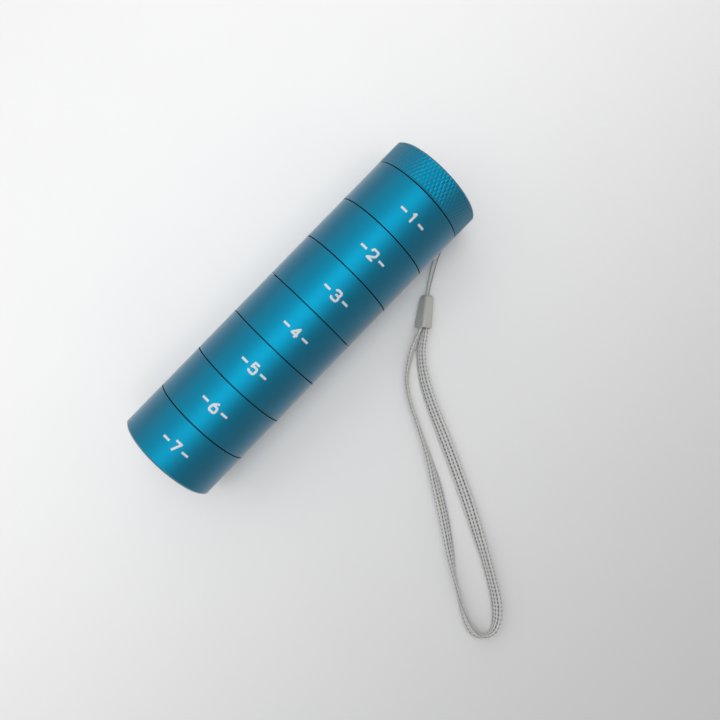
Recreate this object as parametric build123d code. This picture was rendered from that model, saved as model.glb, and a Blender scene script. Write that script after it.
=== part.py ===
from build123d import *
import math
import os

# Weekly pill organizer: seven round aluminium cups screw into one another below a cap.
# A rubber ring seals each joint, and a wrist lanyard is threaded through the cap.
# The tube lies along X on the table plane z = 0, with its cap towards +X and its middle at x = 0.
# Lengths are in millimetres and angles in degrees.

# Tube
tube_diameter = 32.0
cup_height = 15.3
cap_height = 8.5
days = ["sunday", "monday", "tuesday", "wednesday", "thursday", "friday", "saturday"]

# Screwed joint: a neck on each cup fits the socket of the piece above it
socket_wall = 1.4
neck_wall = 1.9
neck_height = 3.6
thread_clearance = 0.2
socket_end_clearance = 0.4
floor_thickness = 1.5
base_thickness = 2.0

# Rubber ring in a groove at the root of each neck
seal_section = 1.0
seal_clearance = 0.1

# Broken edges
rim_chamfer = 0.2
neck_chamfer = 0.35
mouth_chamfer = 0.25
socket_chamfer = 0.3
base_chamfer = 0.6
cap_chamfer = 0.5
cavity_fillet = 1.5

# Diamond knurl round the cap's flank, between a plain edge at the joint and the end's chamfer
knurl_count = 80
knurl_rows = 3
knurl_depth = 0.3
knurl_margin = 0.3

# Lanyard tunnel: a half ring bored through the cap's roof, with both mouths low on the flank
tunnel_angle = 40.5
tunnel_mouth_spacing = 4.2
tunnel_diameter = 1.5

# Lanyard string, doubled between the tunnel and the sleeve
string_diameter = 0.7
string_pitch = 1.0
string_exit = 1.5
string_turn_depth = 1.9

# Moulded sleeve, leaning on the table with its broad side up
sleeve_place = (24.7, -28.4)
sleeve_heading = 216.3
sleeve_lean = 65.0
sleeve_length = 10.5
sleeve_width = 5.8
sleeve_height = 3.7
sleeve_corner = 0.9
sleeve_neck_width = 4.6
sleeve_neck_height = 3.2
sleeve_neck_corner = 1.3
sleeve_neck_fillet = 1.15
sleeve_mouth_fillet = 0.25
strap_pocket_depth = 1.8
string_pocket_depth = 1.2
pocket_clearance = 0.2

# Wrist strap: a flat woven tape, folded into one loop
tape_width = 4.3
tape_thickness = 0.8
tape_leg_gap = 0.5
table_clearance = 0.15
strap_lead = 1.4
string_lead = 2.0
strap_stations = 108

# Routes on the table: the free points of the strap as (x, y, roll of the tape),
# and those of the two strands of string as (x, y, z), each from the sleeve outwards
strap_route = [
    (19.4, -33.1, 58), (14.8, -38.0, 50), (9.9, -45.4, 36), (2.5, -61.8, 18), (-5.3, -77.7, 14),
    (-9.5, -85.2, 32), (-13.9, -93.3, 48), (-18.5, -101.0, 50), (-21.7, -105.8, 48), (-24.6, -109.0, 54),
    (-27.5, -111.1, 70), (-30.6, -111.8, 92), (-33.1, -110.6, 115), (-34.2, -107.9, 126), (-33.5, -104.4, 118),
    (-30.5, -98.6, 97), (-26.3, -92.2, 80), (-20.6, -84.5, 50), (-14.3, -76.0, 38), (-8.6, -67.2, 38),
    (-3.2, -57.9, 68), (0.9, -49.8, 80), (4.7, -41.9, 81), (9.2, -35.9, 88), (14.6, -31.9, 82),
    (19.5, -29.5, 72),
]
lower_strand = [(38.4, -18.3, 2.1), (43.2, -15.5, 1.3), (48.4, -12.9, 0.9), (52.4, -11.2, 0.9)]
upper_strand = [(39.6, -18.9, 2.1), (45.3, -15.9, 1.7), (51.3, -14.0, 2.9)]
bend_share = 0.45

# How far a cut runs past the face it starts from
cut_overrun = 1.0

# Sizes that follow
tube_radius = tube_diameter / 2
socket_radius = tube_radius - socket_wall
mouth_radius = socket_radius + socket_chamfer
neck_radius = socket_radius - thread_clearance
cavity_radius = neck_radius - neck_wall
socket_depth = neck_height + socket_end_clearance
seal_radius = socket_radius - seal_clearance - seal_section / 2
groove_radius = seal_radius - seal_section / 2 - seal_clearance
groove_width = seal_section + 2 * seal_clearance
knurl_root_radius = tube_radius - knurl_depth
tube_length = len(days) * cup_height + cap_height
cap_x = tube_length / 2 - cap_height


def turned(points, rounded=None):
    """Turns a closed outline of (x, radius) points about the tube's own axis."""
    outline = make_face(Polyline(*points, close=True))
    if rounded:
        corner, radius = rounded
        outline = fillet(outline.vertices().sort_by_distance(corner)[0], radius)
    return revolve(outline, axis=Axis.X)


def on_tube(x, shape):
    """Sets a turned shape on the tube's axis, with its lower end at x."""
    return Pos(x, 0, tube_radius) * shape


def socket_bore():
    """The inside of a screwed joint's female side, from the axis out to its mouth."""
    return [
        (socket_depth, 0),
        (socket_depth, socket_radius),
        (socket_chamfer, socket_radius),
        (0, mouth_radius),
    ]


def socket_outline():
    """The female side of a screwed joint, from the axis out to the outer wall."""
    return socket_bore() + [(0, tube_radius - rim_chamfer), (rim_chamfer, tube_radius)]


def base_outline():
    """The closed, flat end of the lowest cup."""
    return [(0, 0), (0, tube_radius - base_chamfer), (base_chamfer, tube_radius)]


def neck_outline():
    """The male side of a screwed joint, from the outer wall in to the cup's mouth."""
    groove_end = cup_height + groove_width
    neck_end = cup_height + neck_height
    return [
        (cup_height - rim_chamfer, tube_radius),
        (cup_height, tube_radius - rim_chamfer),
        (cup_height, groove_radius),
        (groove_end, groove_radius),
        (groove_end, neck_radius),
        (neck_end - neck_chamfer, neck_radius),
        (neck_end, neck_radius - neck_chamfer),
        (neck_end, cavity_radius + mouth_chamfer),
        (neck_end - mouth_chamfer, cavity_radius),
    ]


def cup(closed):
    """One compartment; the lowest one is closed by a flat base."""
    lower_end = base_outline() if closed else socket_outline()
    floor_x = base_thickness if closed else socket_depth + floor_thickness
    corner = (floor_x, cavity_radius)
    points = lower_end + neck_outline() + [corner, (floor_x, 0)]
    return turned(points, (corner, cavity_fillet))


def seal():
    """The rubber ring, centred in its groove."""
    ring = Rotation(0, 90, 0) * Torus(seal_radius, seal_section / 2)
    return Pos(cup_height + groove_width / 2, 0, 0) * ring


def tunnel_frame():
    """The plane of the lanyard tunnel: X along the flank, Y out of it, at the tunnel's middle."""
    roof_x = cap_x + (socket_depth + cap_height) / 2
    angle = math.radians(tunnel_angle)
    outward = Vector(0, -math.sin(angle), -math.cos(angle))
    along = Vector(0, -math.cos(angle), math.sin(angle))
    origin = Vector(roof_x, 0, tube_radius) + outward * tube_radius
    return Plane(origin=origin, x_dir=along, z_dir=along.cross(outward))


def knurl_ring(x, even_radius, odd_radius):
    """The corner points round the cap at x, on two radii in turn."""
    corners = 2 * knurl_count
    points = []
    for corner in range(corners):
        angle = 2 * math.pi * corner / corners
        radius = odd_radius if corner % 2 else even_radius
        points.append(Vector(x, radius * math.cos(angle), radius * math.sin(angle)))
    return points


def knurl_rings():
    """The rings of corners along the cap: rows of tips and roots in turn, between plain edges."""
    half_rows = 2 * knurl_rows
    start = rim_chamfer + knurl_margin
    half_row = (cap_height - cap_chamfer - start) / half_rows
    rings = [
        knurl_ring(0, tube_radius - rim_chamfer, tube_radius - rim_chamfer),
        knurl_ring(rim_chamfer, tube_radius, tube_radius),
        knurl_ring(start, tube_radius, tube_radius),
    ]
    for row in range(1, half_rows):
        even_radius, odd_radius = tube_radius, knurl_root_radius
        if row % 2:
            even_radius, odd_radius = odd_radius, even_radius
        rings.append(knurl_ring(start + row * half_row, even_radius, odd_radius))
    rings.append(knurl_ring(cap_height - cap_chamfer, tube_radius, tube_radius))
    rings.append(knurl_ring(cap_height, tube_radius - cap_chamfer, tube_radius - cap_chamfer))
    return rings


def knurled_blank():
    """The cap before it is bored: a closed shell of facets, folded along the grooves."""
    rings = knurl_rings()
    outlines = [rings[0], rings[-1]]
    for row, (low, high) in enumerate(zip(rings, rings[1:])):
        for corner in range(len(low)):
            after = (corner + 1) % len(low)
            if (row + corner) % 2:
                outlines += [
                    [low[corner], low[after], high[after]],
                    [low[corner], high[after], high[corner]],
                ]
            else:
                outlines += [
                    [low[corner], low[after], high[corner]],
                    [low[after], high[after], high[corner]],
                ]
    facets = [Face(Wire.make_polygon(outline)) for outline in outlines]
    return Solid(Shell(facets))


def cap():
    """The cap: a knurled flank, a socket below, a thick roof, and the lanyard tunnel through its flank."""
    socket = turned(socket_bore() + [(-cut_overrun, mouth_radius), (-cut_overrun, 0)])
    tunnel = tunnel_frame() * Torus(tunnel_mouth_spacing / 2, tunnel_diameter / 2)
    return on_tube(cap_x, knurled_blank() - socket) - tunnel


def sleeve_frame():
    """The sleeve's own plane at its strap end: X up its broad side, Z towards the string."""
    heading = math.radians(sleeve_heading)
    lean = math.radians(sleeve_lean)
    ahead = Vector(math.cos(heading), math.sin(heading), 0)
    aside = Vector(0, 0, 1).cross(ahead)
    across = aside * math.cos(lean) + Vector(0, 0, 1) * math.sin(lean)
    rise = (sleeve_width / 2 - sleeve_corner) * math.sin(lean)
    rise += (sleeve_height / 2 - sleeve_corner) * math.cos(lean)
    rest = rise + sleeve_corner + table_clearance
    return Plane(origin=(*sleeve_place, rest), x_dir=across, z_dir=ahead * -1)


def sleeve():
    """The tapered sleeve, with a pocket at each end for the strap and the string."""
    frame = sleeve_frame()
    neck_frame = frame.offset(sleeve_length)
    body = loft([
        frame * RectangleRounded(sleeve_width, sleeve_height, sleeve_corner),
        neck_frame * RectangleRounded(sleeve_neck_width, sleeve_neck_height, sleeve_neck_corner),
    ])
    ends = body.faces().sort_by(Axis(frame.origin, frame.z_dir))
    body = fillet(ends[-1].edges(), sleeve_neck_fillet)
    ends = body.faces().sort_by(Axis(frame.origin, frame.z_dir))
    body = fillet(ends[0].edges(), sleeve_mouth_fillet)
    strap_pocket = Box(
        tape_width + 2 * pocket_clearance,
        2 * tape_thickness + tape_leg_gap + 2 * pocket_clearance,
        2 * strap_pocket_depth,
    )
    string_pocket = Box(
        string_diameter + 2 * pocket_clearance,
        string_pitch + string_diameter + 2 * pocket_clearance,
        2 * string_pocket_depth,
    )
    return body - frame * strap_pocket - neck_frame * string_pocket


def bend_radii(points):
    """The radius at each inner point of a route, as large as its two runs allow."""
    radii = []
    for before, here, after in zip(points, points[1:], points[2:]):
        run_in = here - before
        run_out = after - here
        half_turn = math.radians(run_in.get_angle(run_out)) / 2
        radii.append(bend_share * min(run_in.length, run_out.length) / math.tan(half_turn))
    return radii


def routed(name, points):
    """A route of straight runs joined by tangent arcs."""
    radii = bend_radii(points)
    print(name, "bend radii", [round(radius, 1) for radius in radii])
    return FilletPolyline(*points, radius=radii)


def string():
    """The doubled string: out of the sleeve, through the cap's tunnel and back."""
    tunnel = tunnel_frame()
    neck_frame = sleeve_frame().offset(sleeve_length)
    half_mouth = tunnel_mouth_spacing / 2
    strands = []
    for side, free_points in ((-1, lower_strand), (1, upper_strand)):
        y = side * string_pitch / 2
        x = side * half_mouth
        strands.append([
            neck_frame.from_local_coords(Vector(0, y, -string_pocket_depth)),
            neck_frame.from_local_coords(Vector(0, y, string_lead)),
            *[Vector(*point) for point in free_points],
            tunnel.from_local_coords(Vector(x, string_exit, 0)),
            tunnel.from_local_coords(Vector(x, -string_turn_depth, 0)),
        ])
    lower, upper = strands
    path = routed("string", lower + upper[::-1])
    section = Plane(origin=path @ 0, z_dir=path % 0) * Circle(string_diameter / 2)
    solid = sweep(section, path=path)
    print("string length", round(path.length, 1), "volume share",
          round(solid.volume / (section.area * path.length), 4))
    return solid


def tape_rest(roll):
    """The height of the tape's middle where it rests on the table at this roll."""
    angle = math.radians(roll)
    rise = tape_width / 2 * abs(math.sin(angle)) + tape_thickness / 2 * abs(math.cos(angle))
    return rise + table_clearance


def strap_points():
    """The strap's route and rolls, from one leg's end in the sleeve to the other's."""
    frame = sleeve_frame()
    leg = (tape_leg_gap + tape_thickness) / 2
    ends = {}
    for side in (-1, 1):
        ends[side] = [
            frame.from_local_coords(Vector(0, side * leg, depth))
            for depth in (strap_pocket_depth, -strap_lead)
        ]
    free = [Vector(x, y, tape_rest(roll)) for x, y, roll in strap_route]
    points = ends[1] + free + ends[-1][::-1]
    lean_back = 180 - sleeve_lean
    rolls = [sleeve_lean] * 2 + [roll for _, _, roll in strap_route] + [lean_back] * 2
    return points, rolls


def roll_at(share, shares, rolls):
    """The tape's roll at a share of the route's length."""
    for low, high, roll_low, roll_high in zip(shares, shares[1:], rolls, rolls[1:]):
        if share <= high:
            return roll_low + (roll_high - roll_low) * (share - low) / (high - low)
    return rolls[-1]


def strap():
    """The wrist strap: the tape's section, rolled as it lies, drawn along its route."""
    points, rolls = strap_points()
    path = routed("strap", points)
    runs = [0.0]
    for before, after in zip(points, points[1:]):
        runs.append(runs[-1] + (after - before).length)
    shares = [run / runs[-1] for run in runs]
    sections = []
    for station in range(strap_stations + 1):
        share = station / strap_stations
        distance = share * path.length
        place = path.position_at(distance, position_mode=PositionMode.LENGTH)
        ahead = path.tangent_at(distance, position_mode=PositionMode.LENGTH)
        roll = math.radians(roll_at(share, shares, rolls))
        aside = Vector(0, 0, 1).cross(ahead).normalized()
        across = aside * math.cos(roll) + Vector(0, 0, 1) * math.sin(roll)
        station_plane = Plane(origin=place, x_dir=across, z_dir=ahead)
        sections.append(station_plane * Rectangle(tape_width, tape_thickness))
    solid = loft(sections, ruled=True)
    print("strap length", round(path.length, 1), "volume share",
          round(solid.volume / (tape_width * tape_thickness * path.length), 4))
    return solid


def organizer():
    """Every piece of the organizer by its node's name."""
    pieces = {"cap": cap()}
    for number, day in enumerate(days):
        x = cap_x - (number + 1) * cup_height
        pieces[f"{day}_cup"] = on_tube(x, cup(day == days[-1]))
        pieces[f"{day}_seal"] = on_tube(x, seal())
    pieces["lanyard_string"] = string()
    pieces["lanyard_sleeve"] = sleeve()
    pieces["wrist_strap"] = strap()
    return pieces


os.makedirs("parts", exist_ok=True)
for node, shape in organizer().items():
    export_step(shape, f"parts/{node}.step")
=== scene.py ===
"""Looks of a seven-cup, screw-together pill organizer that lies on a table with its wrist lanyard.

Lengths are in metres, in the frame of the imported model: X runs along the tube towards its cap and Z is up.
Only the points of the lanyard's two routes are in millimetres.
"""

import logging
import math
from dataclasses import dataclass
from enum import Enum

import bmesh
import bpy
import numpy as np
from mathutils import Matrix, Vector


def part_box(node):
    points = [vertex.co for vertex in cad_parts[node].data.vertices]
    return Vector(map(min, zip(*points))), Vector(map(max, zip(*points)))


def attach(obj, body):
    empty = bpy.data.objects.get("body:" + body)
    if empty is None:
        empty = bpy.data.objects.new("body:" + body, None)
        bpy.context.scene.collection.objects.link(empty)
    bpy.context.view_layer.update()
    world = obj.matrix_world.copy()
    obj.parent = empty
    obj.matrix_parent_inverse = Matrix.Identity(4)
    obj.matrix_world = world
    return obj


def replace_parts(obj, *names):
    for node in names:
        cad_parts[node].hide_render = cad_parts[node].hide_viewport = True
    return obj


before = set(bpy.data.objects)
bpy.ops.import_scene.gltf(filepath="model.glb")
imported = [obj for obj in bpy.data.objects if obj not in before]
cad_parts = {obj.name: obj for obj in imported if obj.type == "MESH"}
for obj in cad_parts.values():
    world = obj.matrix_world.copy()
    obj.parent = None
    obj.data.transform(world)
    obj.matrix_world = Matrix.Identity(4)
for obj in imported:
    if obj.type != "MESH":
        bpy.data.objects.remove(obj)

LOG = logging.getLogger("pill_organizer")
MM = 0.001
FULL_TURN = 2 * math.pi
SHARP_ANGLE = math.radians(25)
MERGE_DISTANCE = 0.0005 * MM
# Names of the values that a yarn's mesh keeps for its finish
FIBRE = "fibre"
# How far out a yarn's side lies, which sets where its painted shade falls
RISE = "rise"
# How fast a yarn's filament pattern runs along it, against across it
YARN_STRETCH = 0.12
# How many widths the patterns of two neighbouring yarns lie apart
YARN_SHIFT = 9
# How many steps the spline of a lanyard route has from one control point to the next
ROUTE_STEPS = 32
# Sockets of a node that mixes colours, by number, because several of them share a name
MIX_SHARE = 0
MIX_FIRST = 6
MIX_SECOND = 7
MIX_RESULT = 2
DAYS = ("sunday", "monday", "tuesday", "wednesday", "thursday", "friday", "saturday")

Point = tuple[float, float, float]
Face = tuple[int, ...]
# Red, green, blue and opacity
Colour = tuple[float, float, float, float]
# What may feed a node's input
Feed = float | tuple[float, ...] | bpy.types.NodeSocket

# Free points of the strap, from the sleeve out and back, as (x, y, roll in degrees), in millimetres
STRAP_ROUTE = (
    (19.1, -32.8, 58), (14.6, -37.8, 50), (9.9, -45.4, 36), (2.5, -61.8, 18), (-5.3, -77.7, 14),
    (-9.5, -85.2, 32), (-13.9, -93.3, 48), (-18.5, -101.0, 50), (-21.7, -105.8, 48), (-24.6, -109.0, 54),
    (-27.5, -111.1, 70), (-30.6, -111.8, 92), (-33.1, -110.6, 115), (-34.2, -107.9, 126),
    (-33.5, -104.4, 118), (-30.5, -98.6, 97), (-26.3, -92.2, 80), (-20.6, -84.5, 50), (-14.3, -76.0, 38),
    (-8.6, -67.2, 38), (-3.2, -57.9, 68), (0.9, -49.8, 80), (4.7, -41.9, 84), (9.2, -35.9, 80),
    (14.9, -32.2, 72), (19.9, -29.9, 69),
)

# Both ends of the strap in the sleeve, as (x, y, z, roll in degrees), in millimetres
STRAP_START = ((26.5, -27.81, 2.99, 65), (23.92, -29.7, 2.99, 65))
STRAP_END = ((22.9, -28.4, 3.3, 80), (25.8, -26.86, 3.54, 115))

# The string, from the sleeve along its lower strand, through the cap and back, in millimetres
STRING_ROUTE = (
    (31.93, -22.53, 3.48), (34.51, -20.63, 3.48), (38.4, -18.3, 2.1), (43.2, -15.5, 1.3),
    (48.4, -12.9, 0.9), (52.4, -11.2, 0.9), (55.55, -9.77, 1.33), (55.55, -7.56, 3.91),
    (55.55, -10.75, 6.64), (55.55, -12.96, 4.06), (51.3, -14.0, 2.9), (45.3, -15.9, 1.7),
    (39.6, -18.9, 2.1), (35.04, -21.37, 3.05), (32.46, -23.26, 3.05),
)

# One stroke for each numeral from 1 to 7, as control points in a cell one wide and one high
NUMERALS = (
    ((0.2, 0.76), (0.55, 1.0), (0.55, 1.0), (0.55, 0.0)),
    ((0.0, 0.7), (0.0, 1.0), (0.5, 1.0), (1.0, 1.0), (1.0, 0.66), (1.0, 0.5), (0.0, 0.0), (0.0, 0.0),
     (1.0, 0.0)),
    ((0.02, 0.82), (0.1, 1.0), (0.5, 1.0), (0.96, 1.0), (0.96, 0.54), (0.4, 0.54), (0.4, 0.54),
     (1.03, 0.54), (1.03, 0.0), (0.5, 0.0), (0.06, 0.0), (0.0, 0.2)),
    ((0.74, 0.0), (0.74, 1.0), (0.74, 1.0), (0.0, 0.3), (0.0, 0.3), (1.05, 0.3)),
    ((0.92, 1.0), (0.16, 1.0), (0.16, 1.0), (0.08, 0.52), (0.08, 0.52), (0.24, 0.64), (0.5, 0.64),
     (1.02, 0.64), (1.02, 0.0), (0.48, 0.0), (0.08, 0.0), (0.0, 0.18)),
    ((0.8, 1.0), (0.3, 0.8), (0.0, 0.5), (0.0, 0.0), (0.5, 0.0), (1.0, 0.0), (1.0, 0.6), (0.5, 0.6),
     (0.08, 0.6), (0.03, 0.3)),
    ((0.0, 1.0), (1.0, 1.0), (1.0, 1.0), (0.36, 0.0)),
)

# How far from the top each mark stops once its cup is screwed home, in degrees towards the lanyard
MARK_TURNS = (14.8, 11.9, 14.0, 10.7, 5.7, 4.7, 3.9)


class Slot(Enum):
    """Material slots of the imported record."""

    ANODISED = "anodised_blue"
    RUBBER = "seal_rubber"
    STRING = "string_nylon"
    SLEEVE = "sleeve_plastic"
    STRAP = "strap_tape"


class Side(Enum):
    """The two pieces that meet at a joint, with the way along X from its face into each."""

    UPPER = 1
    LOWER = -1


class MaterialDraft:
    """A material whose one shader is fed by procedural nodes."""

    def __init__(self, name: str, **constants: Feed) -> None:
        """Makes the material.

        Args:
            name: The material's name.
            constants: Values for the shader's sockets, with _ for each blank in a socket's name.
        """
        self.material = bpy.data.materials.new(name)
        self.material.use_nodes = True
        self.tree = self.material.node_tree
        self.shader = self.tree.nodes["Principled BSDF"]
        for socket, value in constants.items():
            self.feed(self.shader.inputs[socket.replace("_", " ")], value)

    def feed(self, socket: bpy.types.NodeSocket, value: Feed) -> None:
        """Gives a socket a constant, or joins it to another node's output.

        Args:
            socket: The input.
            value: The constant or output.
        """
        if isinstance(value, bpy.types.NodeSocket):
            self.tree.links.new(value, socket)
        else:
            socket.default_value = value

    def node(self, kind: str, inputs: dict[str | int, Feed], **settings: object) -> bpy.types.Node:
        """Adds a node.

        Args:
            kind: The node's type.
            inputs: What feeds its inputs, by name or number.
            settings: Its own settings.

        Returns:
            The node.
        """
        node = self.tree.nodes.new(kind)
        for name, value in settings.items():
            setattr(node, name, value)
        for key, value in inputs.items():
            self.feed(node.inputs[key], value)
        return node

    def place(self) -> bpy.types.NodeSocket:
        """Returns the place on the piece, at rest, in metres."""
        return self.node("ShaderNodeTexCoord", {}).outputs["Object"]

    def noise(self, where: bpy.types.NodeSocket, grain: float, detail: float = 2.0) -> bpy.types.NodeSocket:
        """Adds cloudy noise.

        Args:
            where: The place.
            grain: The size of its grain.
            detail: How many finer layers it has.

        Returns:
            A value from 0 to 1.
        """
        node = self.node("ShaderNodeTexNoise", {"Vector": where, "Scale": 1 / grain, "Detail": detail})
        return node.outputs["Fac"]

    def streaks(self, where: bpy.types.NodeSocket, grain: float) -> bpy.types.NodeSocket:
        """Adds noise along one number.

        Args:
            where: The number.
            grain: The width of a streak.

        Returns:
            A value from 0 to 1.
        """
        node = self.node("ShaderNodeTexNoise", {"W": where, "Scale": 1 / grain}, noise_dimensions="1D")
        return node.outputs["Fac"]

    def math(self, operation: str, first: Feed, second: Feed = 0.0) -> bpy.types.NodeSocket:
        """Returns what an arithmetic step on two values gives."""
        return self.node("ShaderNodeMath", {0: first, 1: second}, operation=operation).outputs["Value"]

    def vector_math(self, operation: str, first: Feed, second: Feed = (0.0, 0.0, 0.0)) -> bpy.types.Node:
        """Returns a node that takes an arithmetic step on two vectors."""
        return self.node("ShaderNodeVectorMath", {0: first, 1: second}, operation=operation)

    def blend(self, share: Feed, first: Feed, second: Feed) -> bpy.types.NodeSocket:
        """Returns a colour between two others."""
        inputs = {MIX_SHARE: share, MIX_FIRST: first, MIX_SECOND: second}
        return self.node("ShaderNodeMix", inputs, data_type="RGBA").outputs[MIX_RESULT]

    def spread(self, value: bpy.types.NodeSocket, low: float, high: float) -> bpy.types.NodeSocket:
        """Returns a value from 0 to 1 stretched from low to high."""
        node = self.node("ShaderNodeMapRange", {"Value": value, "To Min": low, "To Max": high})
        return node.outputs["Result"]

    def colour(self, source: bpy.types.NodeSocket) -> None:
        """Joins the shader's colour to an output."""
        self.feed(self.shader.inputs["Base Color"], source)

    def roughen(self, source: bpy.types.NodeSocket) -> None:
        """Joins the shader's roughness to an output."""
        self.feed(self.shader.inputs["Roughness"], source)

    def emboss(self, height: bpy.types.NodeSocket, depth: float) -> None:
        """Joins the shader's normal to a relief from 0 to 1, with its depth."""
        node = self.node("ShaderNodeBump", {"Height": height, "Distance": depth})
        self.feed(self.shader.inputs["Normal"], node.outputs["Normal"])


@dataclass(frozen=True)
class AnodisedFinish:
    """Aluminium, turned, blasted to a satin and dyed."""

    axis_height: float
    name: str = Slot.ANODISED.value
    dye: Colour = (0.0, 0.17, 0.285, 1.0)
    pale_dye: Colour = (0.0, 0.19, 0.315, 1.0)
    edge: Colour = (0.35, 0.42, 0.45, 1.0)
    roughness: tuple[float, float] = (0.42, 0.52)
    haze: float = 0.58
    haze_roughness: float = 0.47
    cloud: float = 9 * MM
    blast_grain: float = 0.16 * MM
    turning_pitch: float = 0.12 * MM
    relief: float = 0.002 * MM

    def material(self) -> bpy.types.Material:
        """Makes the finish, with turning marks round the tube and across its ends.

        Returns:
            The material.
        """
        draft = MaterialDraft(
            self.name,
            Metallic=1.0,
            Specular_Tint=self.edge,
            Sheen_Weight=self.haze,
            Sheen_Roughness=self.haze_roughness,
        )
        place = draft.place()
        centred = draft.vector_math("SUBTRACT", place, (0, 0, self.axis_height)).outputs["Vector"]
        across = draft.vector_math("MULTIPLY", centred, (0, 1, 1)).outputs["Vector"]
        radius = draft.vector_math("LENGTH", across).outputs["Value"]
        along = draft.node("ShaderNodeSeparateXYZ", {0: centred}).outputs["X"]
        rings = draft.streaks(draft.math("ADD", along, radius), self.turning_pitch)
        blast = draft.noise(place, self.blast_grain)
        cloud = draft.noise(place, self.cloud)
        draft.colour(draft.blend(cloud, self.dye, self.pale_dye))
        draft.roughen(draft.spread(draft.math("MULTIPLY", blast, cloud), *self.roughness))
        draft.emboss(draft.math("ADD", rings, blast), self.relief)
        return draft.material


@dataclass(frozen=True)
class SeamShadeFinish(AnodisedFinish):
    """The same aluminium inside a joint's seam, with painted shade: a deeper dye and no haze stand in for
    the shadow in the narrow groove.
    """

    name: str = "anodised_seam_painted_shade"
    # Painted shade: a dark dye in place of the shadow deep in the groove
    dye: Colour = (0.0, 0.065, 0.11, 1.0)
    pale_dye: Colour = dye
    edge: Colour = dye
    haze: float = 0.0


@dataclass(frozen=True)
class EngravedFinish:
    """Bare, frosted aluminium where a laser has burnt the dye away."""

    frost: Colour = (0.62, 0.64, 0.66, 1.0)
    shade: Colour = (0.50, 0.53, 0.56, 1.0)
    metallic: float = 0.25
    roughness: float = 0.62
    grain: float = 0.11 * MM
    relief: float = 0.006 * MM

    def material(self) -> bpy.types.Material:
        """Makes the finish.

        Returns:
            The material.
        """
        draft = MaterialDraft("engraved_frost", Metallic=self.metallic, Roughness=self.roughness)
        grain = draft.noise(draft.place(), self.grain)
        draft.colour(draft.blend(grain, self.shade, self.frost))
        draft.emboss(grain, self.relief)
        return draft.material


@dataclass(frozen=True)
class RubberFinish:
    """Black moulded rubber with a dry bloom."""

    dark: Colour = (0.012, 0.012, 0.013, 1.0)
    bloom: Colour = (0.035, 0.035, 0.036, 1.0)
    roughness: tuple[float, float] = (0.45, 0.7)
    patch: float = 1.4 * MM
    grain: float = 0.1 * MM
    relief: float = 0.008 * MM

    def material(self) -> bpy.types.Material:
        """Makes the finish.

        Returns:
            The material.
        """
        draft = MaterialDraft(Slot.RUBBER.value)
        place = draft.place()
        patches = draft.noise(place, self.patch)
        draft.colour(draft.blend(patches, self.dark, self.bloom))
        draft.roughen(draft.spread(patches, *self.roughness))
        draft.emboss(draft.noise(place, self.grain), self.relief)
        return draft.material


@dataclass(frozen=True)
class MouldedFinish:
    """Grey satin plastic as it leaves a spark-eroded mould."""

    pale: Colour = (0.50, 0.49, 0.46, 1.0)
    deep: Colour = (0.44, 0.432, 0.405, 1.0)
    roughness: tuple[float, float] = (0.42, 0.55)
    glow: float = 0.15
    glow_depth: float = 0.4 * MM
    cloud: float = 2.5 * MM
    grain: float = 0.09 * MM
    relief: float = 0.006 * MM

    def material(self) -> bpy.types.Material:
        """Makes the finish.

        Returns:
            The material.
        """
        draft = MaterialDraft(
            Slot.SLEEVE.value,
            Subsurface_Weight=self.glow,
            Subsurface_Scale=self.glow_depth,
        )
        place = draft.place()
        cloud = draft.noise(place, self.cloud)
        draft.colour(draft.blend(cloud, self.deep, self.pale))
        draft.roughen(draft.spread(cloud, *self.roughness))
        draft.emboss(draft.noise(place, self.grain), self.relief)
        return draft.material


@dataclass(frozen=True)
class YarnFinish:
    """Twisted nylon filaments, laid along each yarn, with painted shade: darker on each yarn's sides and
    underside, paler on its top.
    """

    name: str
    pale: Colour
    # The colour of a yarn's sides and underside: painted shade
    deep: Colour
    fall: float = 1.0
    shine: tuple[float, float] = (0.7, 1.1)
    roughness: float = 0.72
    fuzz: float = 0.4
    fuzz_roughness: float = 0.5
    filament: float = 0.06 * MM
    relief: float = 0.02 * MM

    def material(self) -> bpy.types.Material:
        """Makes the finish, drawn out along the yarn by the mesh's own fibre places.

        Returns:
            The material.
        """
        draft = MaterialDraft(
            self.name,
            Roughness=self.roughness,
            Sheen_Weight=self.fuzz,
            Sheen_Roughness=self.fuzz_roughness,
        )
        fibre = draft.node("ShaderNodeAttribute", {}, attribute_name=FIBRE).outputs["Vector"]
        rise = draft.node("ShaderNodeAttribute", {}, attribute_name=RISE).outputs["Fac"]
        filaments = draft.noise(fibre, self.filament, detail=1.0)
        shine = draft.spread(filaments, *self.shine)
        # Painted shade: the colour falls from pale on a yarn's outer top to deep on its sides and underside
        light = draft.math("MULTIPLY", draft.math("POWER", rise, self.fall), shine)
        draft.colour(draft.blend(light, self.deep, self.pale))
        draft.emboss(filaments, self.relief)
        return draft.material


@dataclass(frozen=True)
class StringFinish(YarnFinish):
    """The string's grey nylon, with painted shade on the low sides of each ply."""

    name: str = Slot.STRING.value
    pale: Colour = (0.42, 0.415, 0.41, 1.0)
    # Painted shade on the sides and underside of each ply
    deep: Colour = (0.28, 0.277, 0.272, 1.0)


@dataclass(frozen=True)
class TapeFinish(YarnFinish):
    """The tape's paler stitches, with painted shade in the pits between them and on their sides."""

    name: str = Slot.STRAP.value
    pale: Colour = (0.63, 0.63, 0.61, 1.0)
    # Painted shade of the pits and of the stitches' sides and undersides
    deep: Colour = (0.05, 0.05, 0.048, 1.0)
    fall: float = 0.75
    shine: tuple[float, float] = (0.85, 1.2)


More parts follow.
